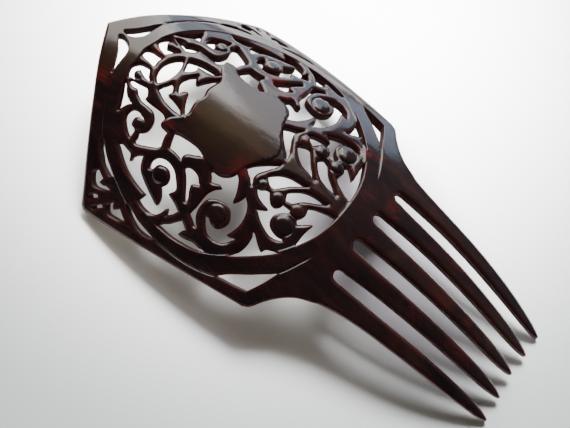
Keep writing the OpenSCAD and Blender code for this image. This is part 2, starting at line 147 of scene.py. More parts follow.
big_curl = [(55.1, 29.3, 1), (53.4, 28.2), (51.8, 27.2, 1), (52.1, 24.4), (52.1, 21.4),
    (52.3, 19.6), (53.2, 17.7), (54.5, 16.4, 1), (53.5, 16.2), (52.3, 16.8), (51.2, 17, 1),
    (50.5, 15.9), (49.5, 14.8), (49.9, 14.1, 1), (51.6, 14), (53, 13.4), (54.3, 12.2),
    (55.2, 10.4, 1), (56.6, 11.4), (57.9, 13.4), (58.8, 15.2), (59.4, 17.3, 1), (60.2, 15.9),
    (60.8, 13.9, 1), (62.2, 14.8), (63.6, 16.6), (64.4, 18.9), (64.6, 21.3), (64.2, 23.6),
    (63.6, 25.1, 1), (65.8, 24.7, 1), (65.2, 26.3), (63.8, 27.9), (62, 28.7), (60.2, 28.8),
    (58.6, 28.4), (57.1, 27.1), (55.6, 25.1, 1), (56.6, 24.6), (58.2, 25.4), (60, 25.5),
    (61.1, 24.4), (61.6, 22.6), (61, 20.9), (59.7, 19.6), (57.6, 19.2), (55.4, 19.8), (53.8, 21),
    (53.3, 23), (53.5, 25.2), (54.3, 26.9), (55.9, 28.7, 1)]
first_leaf = [(60.3, 10.9, 1), (58.9, 9.8), (57.4, 9), (55.9, 7.8, 1), (57.2, 5.8), (58.7, 4.1),
    (60.4, 2.4), (62.6, 0.6, 1), (62.3, 2.6), (61.4, 4), (60.5, 5.6), (59.6, 7.2), (59.5, 8.8)]
bead_gap = [(61.6, 10, 1), (62.7, 9.7), (63.7, 8.8), (65, 8.5, 1), (66, 10), (67.3, 11.1),
    (68.5, 11.2), (69.5, 10.2), (69.8, 9, 1), (72.3, 8.9, 1), (72.7, 10.4, 1), (71.3, 11.4),
    (70.3, 12.6), (69.9, 13.8), (70.4, 15.4), (71.7, 16.4), (73.7, 16.8), (75.6, 16.5, 1),
    (75.9, 17.1, 1), (74.5, 18.1), (72.3, 18.4), (70, 17.8), (67.5, 16.6), (65.1, 14.8, 1),
    (66.3, 13.9), (67.5, 13.1, 1), (65.4, 12.8), (63.4, 12.1), (62.2, 11.1)]
second_leaf = [(61.9, 6.3), (62.1, 5.2), (63.2, 3.9), (64.8, 2.7), (66.8, 1.8), (69.2, 1.4),
    (72, 1, 1), (70.2, 2.8), (68.4, 4.4), (67, 6), (65.4, 7.9, 1), (64.2, 7.9), (63, 7.2)]
third_leaf = [(69.8, 8.4, 1), (69, 7.4), (68.6, 5.9), (70, 4.2), (72, 2.7), (74.2, 1.9),
    (76.5, 1.6), (79, 1.7, 1), (77.2, 3.3), (75.2, 4.5), (73.4, 5.8), (71.7, 7.8, 1)]
fan_foot = [(76.2, 11.5, 1), (75.3, 10.9), (75, 9.9, 1), (75.7, 9), (76, 8), (75.7, 6.9),
    (75.1, 5.8, 1), (77, 4.6), (79, 3.8), (81, 3.2), (82.9, 2.9, 1), (82.9, 5.5), (82.4, 8.4),
    (81.6, 11.2), (80.6, 13.6), (79.3, 16, 1), (78.8, 13.5), (78.9, 11), (79.3, 8.9, 1), (78, 10)]
curl_foot = [(67, 29.4, 1), (68.2, 27.6), (68.9, 25.6), (69.1, 23.4), (68.8, 21.4), (68.3, 20, 1),
    (69.5, 20.3), (71.2, 21.6), (73.2, 22.8, 1), (74, 21.3), (77.2, 20.1, 1), (75, 22.5),
    (73, 24.4), (71, 26.2), (69, 27.9)]
corner_gap = [(67.8, 35.7, 1), (69.6, 33.5), (72, 31.5), (74.5, 29.6), (77.2, 27.2),
    (80.3, 24.5, 1), (79.2, 28), (78, 30.9), (76.7, 33.6, 1), (73, 34.6)]
top_arch = [(13.5, 0), (13.8, 1.2), (14.9, 1.9), (16.8, 2), (18.8, 2), (18.75, 0)]
lens = [(20.1, 0), (20.5, 2.3), (21.4, 4.1), (22.7, 5.2), (23.7, 3.9), (24.5, 2.2), (24.95, 0)]
over_shield = [(27, 0), (27.3, 1.2), (27.9, 2.5), (28.9, 3.6), (29.6, 2.6), (30.2, 2), (30.8, 2),
    (31.4, 3.3), (32.2, 4.8), (33.1, 6.3), (34.3, 7.3), (34.7, 6.4), (34.5, 5), (34.15, 3.4),
    (34.1, 1.8), (34.7, 0)]


def on_flat(points):
    """Places on the flat sheet of points of the drawing, which was drawn square: a gentle stretch
    along and across, of second order in both. Points on the middle line stay on it."""
    u, w = points[:, 0], points[:, 1]
    wide = w - 0.5 + 0.036 * u + 0.027 * w - 0.00038 * u * u + 0.00033 * u * w - 0.00102 * w * w
    far = -0.1 + 1.016 * u + 0.021 * w - 0.0005 * u * w + 0.0005 * w * w
    return np.stack([far, np.where(w <= 0, w, wide)], -1)


def read_rows(rows):
    """The rows of a drawn list as an array of (along, across), and which of them are sharp."""
    return np.array([r[:2] for r in rows], float), np.array([len(r) == 3 for r in rows])


def saw_line(points, sharp, spacing):
    """Closed smooth line through the points, in steps of about the spacing: cubic pieces that
    leave a point along half the step between its neighbours, and a sharp corner straight to the
    next one."""
    ahead, behind = np.roll(points, -1, 0), np.roll(points, 1, 0)
    leave = np.where(sharp[:, None], ahead - points, (ahead - behind) / 2)
    arrive = np.roll(np.where(sharp[:, None], points - behind, (ahead - behind) / 2), -1, 0)
    count = np.maximum(np.ceil(np.linalg.norm(ahead - points, axis=1) / spacing).astype(int), 1)
    i = np.repeat(np.arange(len(points)), count)
    t = (np.arange(count.sum()) - np.repeat(np.cumsum(count) - count, count)) / count[i]
    t = t[:, None]
    return ((2 * t**3 - 3 * t**2 + 1) * points[i] + (t**3 - 2 * t**2 + t) * leave[i]
            + (3 * t**2 - 2 * t**3) * ahead[i] + (t**3 - t**2) * arrive[i])


def soft(x):
    """Smooth step from 0 at 0 to 1 at 1: three times the square less twice the cube."""
    x = np.clip(x, 0, 1)
    return x * x * (3 - 2 * x)


ring_middle, ring_half_length, ring_half_width = 48.5, 35, 36.5
shield_middle, shield_half_length, shield_half_width = 46, 13.5, 14.5
lower_by = 0.07
farther_out = 0.3


def by_hand(points):
    """Where the second half came out: between the ellipses round the shield and the ring its
    scrolls lie lower along the sheet, by a share of their distance from the middle line, and a
    little farther out."""
    u, w = points[:, 0], points[:, 1]
    ring_share = np.hypot((u - ring_middle) / ring_half_length, w / ring_half_width)
    shield_share = np.hypot((u - shield_middle) / shield_half_length, w / shield_half_width)
    between = soft((1.06 - ring_share) / 0.14) * soft((shield_share - 1) / 0.3)
    return points + np.stack([lower_by * w * between, farther_out * soft(w / 6) * between], -1)


mirror = np.array([1.0, -1.0])
saw_step = 0.42
openings = []
for rows in (apex_drop, frame_sliver, crest_leaf, stem_gap, upper_curl, fleur_side, ring_gap,
             outer_crescent, sprig_top, sprig_eye, sprig_low_eye, sprig_low, side_crescent,
             shield_gap, crossing_gap, arch_leaf_gap, big_curl, first_leaf, bead_gap, second_leaf,
             third_leaf, fan_foot, curl_foot, corner_gap):
    points, sharp = read_rows(rows)
    line = saw_line(on_flat(points), sharp, saw_step)
    openings += [by_hand(line), line * mirror]
for rows in (top_arch, lens, over_shield):
    points, sharp = read_rows(rows)
    points = on_flat(points)
    back = points[:, 1] > 0
    points = np.vstack([by_hand(points), (points * mirror)[back][::-1]])
    openings.append(saw_line(points, np.append(sharp, sharp[back][::-1]), saw_step))

# The outline and the five tines are cut from the same sheet. The slots between the tines end in
# round heads, and the tines narrow and thin down to rounded tips. Each tine is a list of (along,
# inner edge, outer edge) from the root to the tip.

outline = [(0.9, 0, 1), (1.3, 1.4), (6.1, 10.2), (12, 20.2), (17.4, 30.2), (22.4, 40.6),
    (24.7, 46.5, 1), (25.9, 47.5, 1), (78.1, 37.2, 1), (79.9, 35.9), (82, 32.4), (84.8, 29),
    (88, 26.4), (92, 24.6)]
middle_tine = [(95, -2.9, 2.9), (102, -2.6, 2.6), (110, -2.4, 2.4), (120, -2.2, 2.2),
    (130, -2.05, 2.05), (138, -1.8, 1.8), (144, -1.5, 1.5), (148, -0.95, 0.95),
    (149.7, -0.45, 0.45), (150.2, -0.15, 0.15)]
inner_tine = [(95, 7.05, 13.1), (102, 7.15, 12.5), (110, 7.1, 12), (120, 6.85, 11.4),
    (130, 6.6, 10.7), (138, 6.4, 10.1), (144, 6.4, 9.5), (148, 6.7, 8.8), (150.3, 7.2, 8.2),
    (151.1, 7.6, 7.8)]
outer_tine = [(95.5, 17, 23.95), (102, 16.85, 22.6), (110, 16.6, 21.5), (120, 15.95, 20.5),
    (130, 15.2, 19.4), (138, 14.7, 18.4), (144, 14.4, 17.4), (148.3, 14.4, 16.6),
    (150.8, 14.7, 15.8), (151.6, 15.1, 15.4)]


outer_slot_top = 92.5
inner_slot_top = 91.4


def round_head(top, inner, outer, steps=7):
    """Half circle over the head of a slot, from its outer side to its inner side."""
    radius, middle = (outer - inner) / 2, (outer + inner) / 2
    a = np.linspace(0, np.pi, steps)
    return np.stack([top + radius - radius * np.sin(a), middle + radius * np.cos(a)], -1)


points, sharp = read_rows(outline)
outer, inner, middle = (np.array(t, float) for t in (outer_tine, inner_tine, middle_tine))
path = np.vstack([on_flat(points), outer[:, [0, 2]], outer[::-1, [0, 1]],
                  round_head(outer_slot_top, inner[0, 2], outer[0, 1]),
                  inner[:, [0, 2]], inner[::-1, [0, 1]],
                  round_head(inner_slot_top, middle[0, 2], inner[0, 1]), middle[:, [0, 2]]])
sharp = np.append(sharp, np.zeros(len(path) - len(sharp), bool))
path = np.vstack([path, (path * mirror)[:0:-1]])
sharp = np.append(sharp, sharp[:0:-1])
outer_line = saw_line(path, sharp, saw_step)
saw_lines = [*openings, outer_line]


distance_reach = 3
far_off = 9.0


def distance_to(points, line, closed=True):
    """Distance from each point to a line of short straight steps: the least over the steps of the
    distance to the nearest place on the step. Points out of reach keep the value `far_off`."""
    found = np.full(len(points), far_off)
    start = line if closed else line[:-1]
    step = (np.roll(line, -1, 0) if closed else line[1:]) - start
    for part in np.array_split(np.arange(len(start)), max(len(start) // 40, 1)):
        a, ab = start[part], step[part]
        low = np.minimum(a, a + ab).min(0) - distance_reach
        high = np.maximum(a, a + ab).max(0) + distance_reach
        near = np.flatnonzero(np.all((points > low) & (points < high), axis=1))
        p = points[near, None]
        t = np.clip(((p - a) * ab).sum(-1) / (ab**2).sum(-1), 0, 1)
        if len(near):
            d = np.linalg.norm(p - a - t[..., None] * ab, axis=-1).min(1)
            found[near] = np.minimum(found[near], d)
    return found


def encloses(lines, points):
    """Which points the closed lines enclose: those from which a ray across the sheet crosses the
    lines an odd number of times."""
    crossings = np.zeros(len(points), int)
    for line in lines:
        for part in np.array_split(np.arange(len(line)), max(len(line) // 40, 1)):
            a, b = line[part], np.roll(line, -1, 0)[part]
            low, high = np.minimum(a, b).min(0), np.maximum(a, b).max(0)
            near = np.flatnonzero((points[:, 0] > low[0]) & (points[:, 0] <= high[0])
                                  & (points[:, 1] < high[1]))
            u, w = points[near, :1], points[near, 1:]
            spans = (a[:, 0] < u) != (b[:, 0] < u)
            rise = np.where(a[:, 0] == b[:, 0], 1, b[:, 0] - a[:, 0])
            crossed_at = a[:, 1] + (b[:, 1] - a[:, 1]) * (u - a[:, 0]) / rise
            crossings[near] += (spans & (w < crossed_at)).sum(1)
    return crossings % 2 == 1


# The face is carved and filed before it is polished. The ring round the pattern and the border
# stand a little proud, the scrolls between them are lower and rounded over, and the shield is a
# raised blank plate. The buds of the scrolls and the beads of the fan are small domes.

ring_inside = [(13.5, 0), (13.9, 4.6), (15, 9.6), (17.2, 14.8), (19.9, 19.4), (24, 24.4),
    (28.4, 28.2), (33, 31.4), (38, 33.8), (43, 35.3), (48, 35.9), (54, 35.5), (60.6, 33.5),
    (64, 31.8), (67.3, 29.2), (71.2, 26.2), (75, 22.5), (77.8, 18.8), (80.4, 14.2), (82, 9.8),
    (83.1, 5), (83.4, 0)]
ring_outside = [(11.6, 11.8), (13.6, 16.2), (16.5, 21.4), (20, 26.4), (24.4, 30.2), (29.4, 33.2),
    (36, 36.5), (42, 38.3), (48.3, 39), (55, 38.9), (61.5, 37.9), (67.8, 35.6), (72, 31.8),
    (76.6, 27.8), (80.3, 24.4), (83, 19), (85.2, 13.8)]
shield_edge = [(34.6, 0, 1), (34.1, 1.8), (34.2, 3.4), (34.5, 5), (34.7, 6.2), (33.4, 8.4),
    (31.6, 10.4), (30.9, 12.2), (31.5, 13.6), (33.6, 13.9), (35.1, 12.9), (36.6, 12.2),
    (39.2, 11.8), (42, 11.7), (44, 12.1), (46, 13.2), (48, 14), (50, 14.2), (51.6, 14), (53, 13.4),
    (54.3, 12.2), (55.2, 10.4), (55.9, 7.8), (57.4, 5.2), (59.4, 2.6), (60.4, 0, 1)]
corner_field = [(22.6, 33.5, 1), (22.9, 36.6), (23.8, 39.6), (25.2, 43.4), (26, 44.6),
    (27.8, 45.3), (29.2, 44.9), (31.6, 43.7), (33.6, 43.6), (37.2, 42.4), (41, 41.2),
    (45, 40.7, 1), (41, 38), (36, 36.5), (29.4, 33.2), (25.2, 30.7)]
buds = [(26.2, 17.1, 1.8), (39.3, 24.0, 2.3), (57.8, 22.7, 3.0), (73.5, 13.8, 2.9),
    (62.6, 8.7, 1.8), (67.8, 9.1, 2.0), (73.8, 8.4, 2.0)]


def both_halves(rows, spacing=0.5):
    """Closed smooth line of a half that starts and ends on the middle line, with its mirror."""
    points, sharp = read_rows(rows)
    points = on_flat(points)
    points[[0, -1], 1] = 0
    sharp = np.append(sharp, sharp[-2:0:-1])
    return saw_line(np.vstack([points, (points * mirror)[-2:0:-1]]), sharp, spacing)


def open_line(rows, spacing=0.5):
    """Smooth open line through the rows: one way of a closed line that turns back at its end."""
    points, sharp = read_rows(rows)
    points = on_flat(points)
    there_and_back = np.vstack([points, points[-2:0:-1]])
    sharp = np.zeros(len(there_and_back), bool)
    sharp[[0, len(points) - 1]] = True
    line = saw_line(there_and_back, sharp, spacing)
    return line[:np.argmin(np.linalg.norm(line - points[-1], axis=1)) + 1]


ring_line = both_halves(ring_inside)
shield_line = both_halves(shield_edge)
groove_line = open_line(ring_outside)
points, sharp = read_rows(corner_field)
corner_line = saw_line(on_flat(points), sharp, 0.5)
bud_spots = on_flat(np.array(buds)[:, :2])
bud_spots = np.vstack([by_hand(bud_spots), bud_spots * mirror])
bud_radii = np.tile(np.array(buds)[:, 2], 2)


def how_far_in(points, line):
    """Distance to a closed line, positive for the points that it encloses."""
    return distance_to(points, line) * np.where(encloses([line], points), 1, -1)


tine_root = 95
tine_length = 57


def thickness_at(along):
    """Thickness of the sheet: even down to the slots, then less by a parabola to the tips."""
    t = np.clip((along - tine_root) / tine_length, 0, 1)
    return sheet_thick - (sheet_thick - tip_thick) * t * t


def face_drop(along):
    """How far the face sinks as the sheet thins: a third of the thickness that is lost there."""
    return (sheet_thick - thickness_at(along)) / 3


def rounding(from_edge, drop, reach):
    """Depth that rounding takes off beside an edge: a quarter ellipse, reach wide and drop deep."""
    x = np.clip(1 - from_edge / reach, 0, 1)
    return drop * (1 - np.sqrt(1 - x * x))


scrolls_sunk = 0.24
groove_deep = 0.32
groove_half_width = 0.5
groove_end = on_flat(np.array([[85.5, 13.5]]))[0, 0]
dome_foot = 0.62
moat_deep = 0.1


def front_depth(points, from_edge):
    """Depth of the carved face below the sheet's own face, the sum of the steps between its
    levels, the rounding beside the sawn edges, which is least on the ring and the shield, and
    the groove. On a bud the depth is that of its dome, and round it lies a shallow moat."""
    half = np.stack([points[:, 0], np.abs(points[:, 1])], -1)
    field = soft(how_far_in(points, ring_line) / 0.6)
    plate = soft(how_far_in(points, shield_line) / 0.5)
    corner = soft(how_far_in(half, corner_line) / 0.6 + 0.3)
    tines = soft((points[:, 0] - 90) / 10)
    scrolls = np.maximum(field * (1 - plate), corner)
    thick = thickness_at(points[:, 0])
    inside = scrolls - corner * (1 - field)
    rim = soft((1.7 - distance_to(points, outer_line)) / 0.8) * (1 - tines)
    drop = 0.1 + 0.38 * inside + 0.28 * rim + tines * (0.2 * thick - 0.1)
    reach = 0.15 + 0.95 * inside + 0.6 * rim + 0.8 * tines
    depth = face_drop(points[:, 0]) + scrolls_sunk * scrolls + rounding(from_edge, drop, reach)
    to_groove = distance_to(half, groove_line, closed=False) / groove_half_width
    fade = soft((groove_end - points[:, 0]) / 3)
    depth += groove_deep * fade * (1 - np.sin(np.minimum(to_groove, 1) * np.pi / 2)) \
        * soft(from_edge / 0.4)
    off = np.linalg.norm(points[:, None] - bud_spots, axis=-1) / bud_radii
    on_bud = off < 1
    dome_high = np.minimum(0.5 * bud_radii, 0.8)
    dome = dome_foot - dome_high * np.sqrt(np.clip(1 - off**2.5, 0, 1))
    moat = moat_deep * soft(1 - np.abs(off - 1.02) / 0.15)
    return np.where(on_bud.any(1), np.where(on_bud, dome, 0).sum(1), (depth[:, None] + moat).max(1))


def back_depth(points, from_edge):
    """Depth of the hollow side: the sheet's thickness, less a small rounding beside the edges."""
    thick = thickness_at(points[:, 0])
    return face_drop(points[:, 0]) + thick - rounding(from_edge, 0.16 * thick, 0.6)


# The surface points of the comb: the sawn lines, rows beside them that follow the rounded edges,
# the steps of the carving, the domes, and an even net over the rest. The sheet lies to the left of
# every sawn line, so the openings are turned one way and the outline the other.


def left_of(heading):
    """Unit normals to the left of the headings: each turned by a quarter, over its length."""
    heading = heading / np.linalg.norm(heading, axis=1, keepdims=True)
    return np.stack([-heading[:, 1], heading[:, 0]], -1)


border, beside, edges, first = [], [], [], 0
for line, turn in zip(saw_lines, [-1] * len(openings) + [1]):
    after = np.roll(line, -1, 0)
    twice_area = (line[:, 0] * after[:, 1] - after[:, 0] * line[:, 1]).sum()
    if np.sign(twice_area) != turn:
        line = line[::-1]
    border.append(line)
    beside.append(left_of(np.roll(line, -1, 0) - np.roll(line, 1, 0)))
    number = np.arange(len(line))
    edges.append(first + np.stack([number, np.roll(number, -1)], -1))
    first += len(line)
border, beside, edges = np.vstack(border), np.vstack(beside), np.vstack(edges)


def from_saw_lines(points):
    """Distance from each point to the nearest sawn edge."""
    return np.min([distance_to(points, line) for line in saw_lines], axis=0)


def rows_beside(line_points, normals, offsets, floor):
    """Points beside a line at the offsets along its normals, where they stay in the sheet and at
    least `floor` from every sawn edge."""
    rows = np.vstack([line_points + o * normals for o in offsets])
    return rows[encloses(saw_lines, rows) & (from_saw_lines(rows) > floor)]


flat_length = 153
flat_half_width = 48
row_step = 0.866


def net(spacing, clear):
    """Points of an even three-way net over the sheet, at least `clear` from every sawn edge: rows
    a little closer than the spacing, every other one moved by half of it."""
    u = np.arange(0, flat_length, spacing * row_step)
    w = np.arange(-flat_half_width, flat_half_width + 0.1, spacing)
    points = np.stack(np.meshgrid(u, w, indexing="ij"), -1)
    points[1::2, :, 1] += spacing / 2
    points = points.reshape(-1, 2)
    points = points[encloses(saw_lines, points)]
    return points[from_saw_lines(points) > clear]


def edge_rows(offsets):
    """Rows of points beside all the sawn lines, each kept where no other edge is nearer."""
    rows = []
    for o in offsets:
        row = border + o * beside
        row = row[encloses(saw_lines, row)]
        rows.append(row[from_saw_lines(row) > 0.93 * o])
    return np.vstack(rows)


carved = [ring_line, shield_line, groove_line, groove_line * mirror, corner_line,
          corner_line * mirror]
off_step = (-0.5, -0.38, -0.25, -0.12, 0, 0.12, 0.25, 0.38, 0.5)
steps_of_carving = np.vstack([rows_beside(line, left_of(np.gradient(line, axis=0)), off_step, 0.3)
                              for line in carved])
a = np.linspace(0, 2 * np.pi, 25)[:-1]
round_bud = bud_radii[:, None, None] * np.stack([np.cos(a), np.sin(a)], -1)
out_from_middle = (0.25, 0.45, 0.64, 0.8, 0.92, 0.985, 1.03, 1.15)
domes = np.vstack([bud_spots] + [(bud_spots[:, None] + share * round_bud).reshape(-1, 2)
                                 for share in out_from_middle])
domes = domes[encloses(saw_lines, domes)]
domes = domes[from_saw_lines(domes) > 0.15]


def from_domes(points):
    """Distance from each point to the nearest bud's middle, as a share of that bud's radius."""
    return (np.linalg.norm(points[:, None] - bud_spots, axis=-1) / bud_radii).min(1)


inner_net = net(spacing=0.72, clear=0.85)
from_carving = np.min([distance_to(inner_net, line, closed=False) for line in carved], axis=0)
inner_net = inner_net[(from_carving > 0.7) & (from_domes(inner_net) > 1.3)]
close_rows = edge_rows((0.07, 0.2, 0.42, 0.75))
close_rows = close_rows[(from_domes(close_rows) > 1.2) | (from_saw_lines(close_rows) < 0.12)]
steps_of_carving = steps_of_carving[from_domes(steps_of_carving) > 1.25]
front_points = np.vstack([border, close_rows, steps_of_carving, domes, inner_net])
back_points = np.vstack([border, edge_rows((0.12, 0.5)), net(spacing=1.5, clear=1.1)])


def triangles_of(points):
    """Triangles of the net through the points that keep to the sawn lines, without those in an
    opening or outside. Beside a sawn line those on its solid side, the left, are kept, and
    elsewhere those whose middle lies in the sheet."""
    made = delaunay_2d_cdt([Vector(p) for p in points.tolist()], edges.tolist(), [], 0, 1e-7)
    where = np.array([v[:] for v in made[0]])
    back = np.array([o[0] if o else -1 for o in made[3]])
    tri = np.array(made[2])
    middles = where[tri].mean(1)
    tri = back[tri]
    after = np.full(len(points), -1)
    after[edges[:, 0]] = edges[:, 1]
    follows = np.roll(tri, -1, 1)
    solid_side = (after[tri] == follows).any(1)
    open_side = (after[follows] == tri).any(1)
    return tri[solid_side | (~open_side & encloses(saw_lines, middles))]


def merged(points, least=0.12):
    """The first point in each cell of a square grid, with cells `least` wide, and all the points
    of the sawn lines."""
    cell = np.round(points / least).astype(int)
    keep = np.sort(np.unique(cell, axis=0, return_index=True)[1])
    keep = np.union1d(np.arange(len(border)), keep)
    return points[keep]


front_points, back_points = merged(front_points), merged(back_points)
front_edge, back_edge = from_saw_lines(front_points), from_saw_lines(back_points)
front_tri, back_tri = triangles_of(front_points), triangles_of(back_points)

# The face and the hollow side are joined by the sawn walls. These stand out a little where there
# is room for it, most under a rounded edge, and the whole sheet is then bent.

rim_swell = 0.45
wall_swell = 0.1
look_across = 0.7
count, n_front = len(border), len(front_points)
front_edge[:count] = back_edge[:count] = 0
depth_front = front_depth(front_points, front_edge)
depth_back = back_depth(back_points, back_edge)
brim, heel = depth_front[:count], depth_back[:count]
upper_wall, lower_wall = (brim + share * (heel - brim) for share in (0.05, 0.9))
flat_rows = np.vstack([front_points, border, border, back_points])
depths = np.concatenate([depth_front, upper_wall, lower_wall, depth_back])
lost = np.minimum(brim - face_drop(border[:, 0]), 0.6)
across_gap = border - look_across * beside
width_left = np.where(encloses(saw_lines, across_gap), 0, soft(from_saw_lines(across_gap) / 0.6))
levels = [0, n_front, n_front + count, n_front + 2 * count]
swell = np.zeros_like(flat_rows)
for start, grown in zip(levels, (rim_swell * lost, rim_swell * lost, wall_swell, wall_swell)):
    swell[start:start + count] = -beside * (grown * width_left)[:, None]
flat_rows = flat_rows + swell
verts = on_sheet(flat_rows[:, 0], flat_rows[:, 1], depths)
i, j = edges[:, 0], edges[:, 1]
walls = []
for upper, lower in zip(levels[:-1], levels[1:]):
    walls += [np.stack([j + upper, i + upper, i + lower], -1),
              np.stack([j + upper, i + lower, j + lower], -1)]
tris = np.vstack([front_tri, *walls, back_tri[:, ::-1] + levels[-1]])

comb_mesh = bpy.data.meshes.new("pierced_comb")
comb_mesh.from_pydata(verts.tolist(), [], tris.tolist())
comb_mesh.update()
comb_mesh.shade_smooth()

# The mesh carries marks for the plastic: the distance from the edge, the red clouds of the cast
# block that come to the surface here, olive patches that are a painted reflection where the gleams
# on the shield and near the top point look warm, both as (along, across, radius, share), and the
# walls that the saw left dull.

from_edge = np.concatenate([front_edge, np.zeros(2 * count), back_edge])
red_clouds = [(17, 2, 2.4, 1), (9, -14, 4.4, 1), (13, -19, 2.6, 0.8), (35, -6, 3, 1),
    (28, -10, 2, 0.7), (33, -13, 2.6, 0.8), (30.5, -2.5, 2, 0.7), (55, -9, 4, 0.7), (63, 9, 2, 1),
    (79, 10.5, 3, 0.8), (86, 9, 3, 0.8), (78, 19, 2.6, 0.8), (82, 20.5, 2, 0.8), (45, 20, 3.4, 1),
    (50, 15.5, 2.6, 0.8), (53, 23, 2.6, 0.6), (93, 9, 4, 0.6), (98, -3.5, 4, 0.5),
    (93, -4, 3.4, 0.5), (119, 1, 7, 0.25), (129, 1, 6, 0.3), (113, -9.5, 5, 0.25),
    (131, -9, 6, 0.3), (117, 9.5, 6, 0.25)]
# Olive patches painted on the shield and near the top point: a painted reflection of warm light.
olive_sheen_patches = [(44, -1, 13, 1), (51, -4, 8, 0.7), (3, 0, 9, 1), (9, -5, 9, 0.8)]


def shares_of(clouds):
    """Share of the patches, red clouds or painted olive sheen, at each point of the mesh: the
    largest of their shares there, where each is full to 0.2 of its radius and fades to 0 at 1.2 of
    it."""
    shares = np.zeros(len(flat_rows))
    for along, across, radius, share in clouds:
        middle = on_flat(np.array([[along, abs(across)]]))[0] * (1, np.sign(across))
        near = soft(1.2 - np.linalg.norm(flat_rows - middle, axis=1) / radius)
        shares = np.maximum(shares, share * near)
    return shares


slots_from = 88
pierced = (np.arange(count) < count - len(outer_line)) | (border[:, 0] > slots_from)
dull_walls = np.concatenate([np.zeros(n_front), pierced, pierced, np.zeros(len(back_points))])
for name, values in (("from_edge", from_edge), ("red_cloud", shares_of(red_clouds)),
                     ("painted_olive_sheen", shares_of(olive_sheen_patches)), ("sawn", dull_walls)):
    painted = comb_mesh.attributes.new(name, "FLOAT", "POINT")
    painted.data.foreach_set("value", values.astype(np.float32))
pierced_comb = bpy.data.objects.new("pierced_comb", comb_mesh)
bpy.context.collection.objects.link(pierced_comb)

# The plastic is cast as dark brown blocks with clouds of olive and deep red, sliced into sheets and
# polished on a buffing wheel. Light that enters at the sawn edges comes out red; here that red is a
# painted glow in the colour near the edges. The olive patches on the shield and near the top point
# are a painted reflection.

shell = bpy.data.materials.new("mottled_brown_plastic")
shell.use_nodes = True
nodes, links = shell.node_tree.nodes, shell.node_tree.links
plastic = nodes["Principled BSDF"]
plastic.inputs["IOR"].default_value = 1.52


def node(kind, **inputs):
    """New node of the plastic's material with plain values on its named inputs."""
    made = nodes.new(kind)
    for name, value in inputs.items():
        made.inputs[name].default_value = value
    return made


def ramp(source, stops):
    """Colours along a factor, straight between the stops of a list of (place, colour)."""
    made = nodes.new("ShaderNodeValToRGB")
    bar = made.color_ramp.elements
    while len(bar) < len(stops):
        bar.new(0.5)
    for stop, (place, colour) in zip(bar, stops):
        stop.position = place
        stop.color = (*colour, 1)
    links.new(source, made.inputs["Fac"])
    return made.outputs["Color"]


def painted_on(name):
    """Share that is painted on the mesh under a name."""
    made = nodes.new("ShaderNodeAttribute")
    made.attribute_name = name
    return made.outputs["Fac"]


def mixed(tree, share, first, second, blend="MIX"):
    """Colour that goes from the first to the second by a share, each a socket or a plain colour."""
    made = tree.nodes.new("ShaderNodeMix")
    made.data_type = "RGBA"
    made.blend_type = blend
    for name, value in (("Factor", share), ("A", first), ("B", second)):
        if isinstance(value, bpy.types.NodeSocket):
            tree.links.new(value, made.inputs[name])
        elif name == "Factor":
            made.inputs[name].default_value = value
        else:
            made.inputs[name].default_value = (*value, 1)
    return made.outputs["Result"]


on_comb = nodes.new("ShaderNodeTexCoord").outputs["Object"]
stretch = nodes.new("ShaderNodeMapping")
stretch.inputs["Scale"].default_value = (1.0, 0.45, 1.0)
links.new(on_comb, stretch.inputs["Vector"])
clouds = node("ShaderNodeTexNoise", Scale=95.0, Detail=5.0, Roughness=0.6, Distortion=0.8)
links.new(stretch.outputs["Vector"], clouds.inputs["Vector"])
browns = [(0.36, (0.009, 0.0045, 0.006)), (0.5, (0.0165, 0.0072, 0.0082)),
    (0.61, (0.027, 0.011, 0.0105)), (0.74, (0.036, 0.021, 0.014))]
# Olive of the painted reflection on the shield and near the top point.
olive = (0.038, 0.021, 0.0105)
# Deep red of the streaks in the plastic, and of the painted glow near the sawn edges.
deep_red_of_streak_and_glow = (0.085, 0.011, 0.009)
red_patch = (0.15, 0.016, 0.015)
body_colour = ramp(clouds.outputs["Fac"], browns)
with_olive = mixed(shell.node_tree, painted_on("painted_olive_sheen"), body_colour, olive)
streaks = node("ShaderNodeTexNoise", Scale=170.0, Detail=4.0, Roughness=0.65, Distortion=1.0)
links.new(stretch.outputs["Vector"], streaks.inputs["Vector"])
red_share = ramp(streaks.outputs["Fac"], [(0.48, (0, 0, 0)), (0.8, (0.4, 0.4, 0.4))])
# Painted glow: the colour turns red near the sawn edges, where light comes out of the plastic.
painted_edge_glow = ramp(painted_on("from_edge"), [(0.0, (0.5, 0.5, 0.5)), (0.9, (0, 0, 0))])
streaks_or_edge_glow = mixed(shell.node_tree, 1, red_share, painted_edge_glow, "SCREEN")
with_red = mixed(shell.node_tree, streaks_or_edge_glow, with_olive, deep_red_of_streak_and_glow)
ragged = nodes.new("ShaderNodeMath")
ragged.operation = "MULTIPLY"
links.new(painted_on("red_cloud"), ragged.inputs[0])
links.new(ramp(streaks.outputs["Fac"], [(0.4, (0, 0, 0)), (0.62, (1, 1, 1))]), ragged.inputs[1])
with_clouds = mixed(shell.node_tree, ragged.outputs["Value"], with_red, red_patch)
links.new(with_clouds, plastic.inputs["Base Color"])
polished, sawn = 0.14, 0.75
gloss = node("ShaderNodeMapRange", **{"To Min": polished, "To Max": sawn})
links.new(painted_on("sawn"), gloss.inputs["Value"])
links.new(gloss.outputs["Result"], plastic.inputs["Roughness"])
waves = node("ShaderNodeTexNoise", Scale=260.0, Detail=3.0, Roughness=0.5)
links.new(stretch.outputs["Vector"], waves.inputs["Vector"])
bump = nodes.new("ShaderNodeBump")
bump.inputs["Strength"].default_value = 0.6
bump.inputs["Distance"].default_value = 0.00012
links.new(waves.outputs["Fac"], bump.inputs["Height"])
links.new(bump.outputs["Normal"], plastic.inputs["Normal"])
comb_mesh.materials.append(shell)

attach(pierced_comb, "root")
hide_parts("comb")
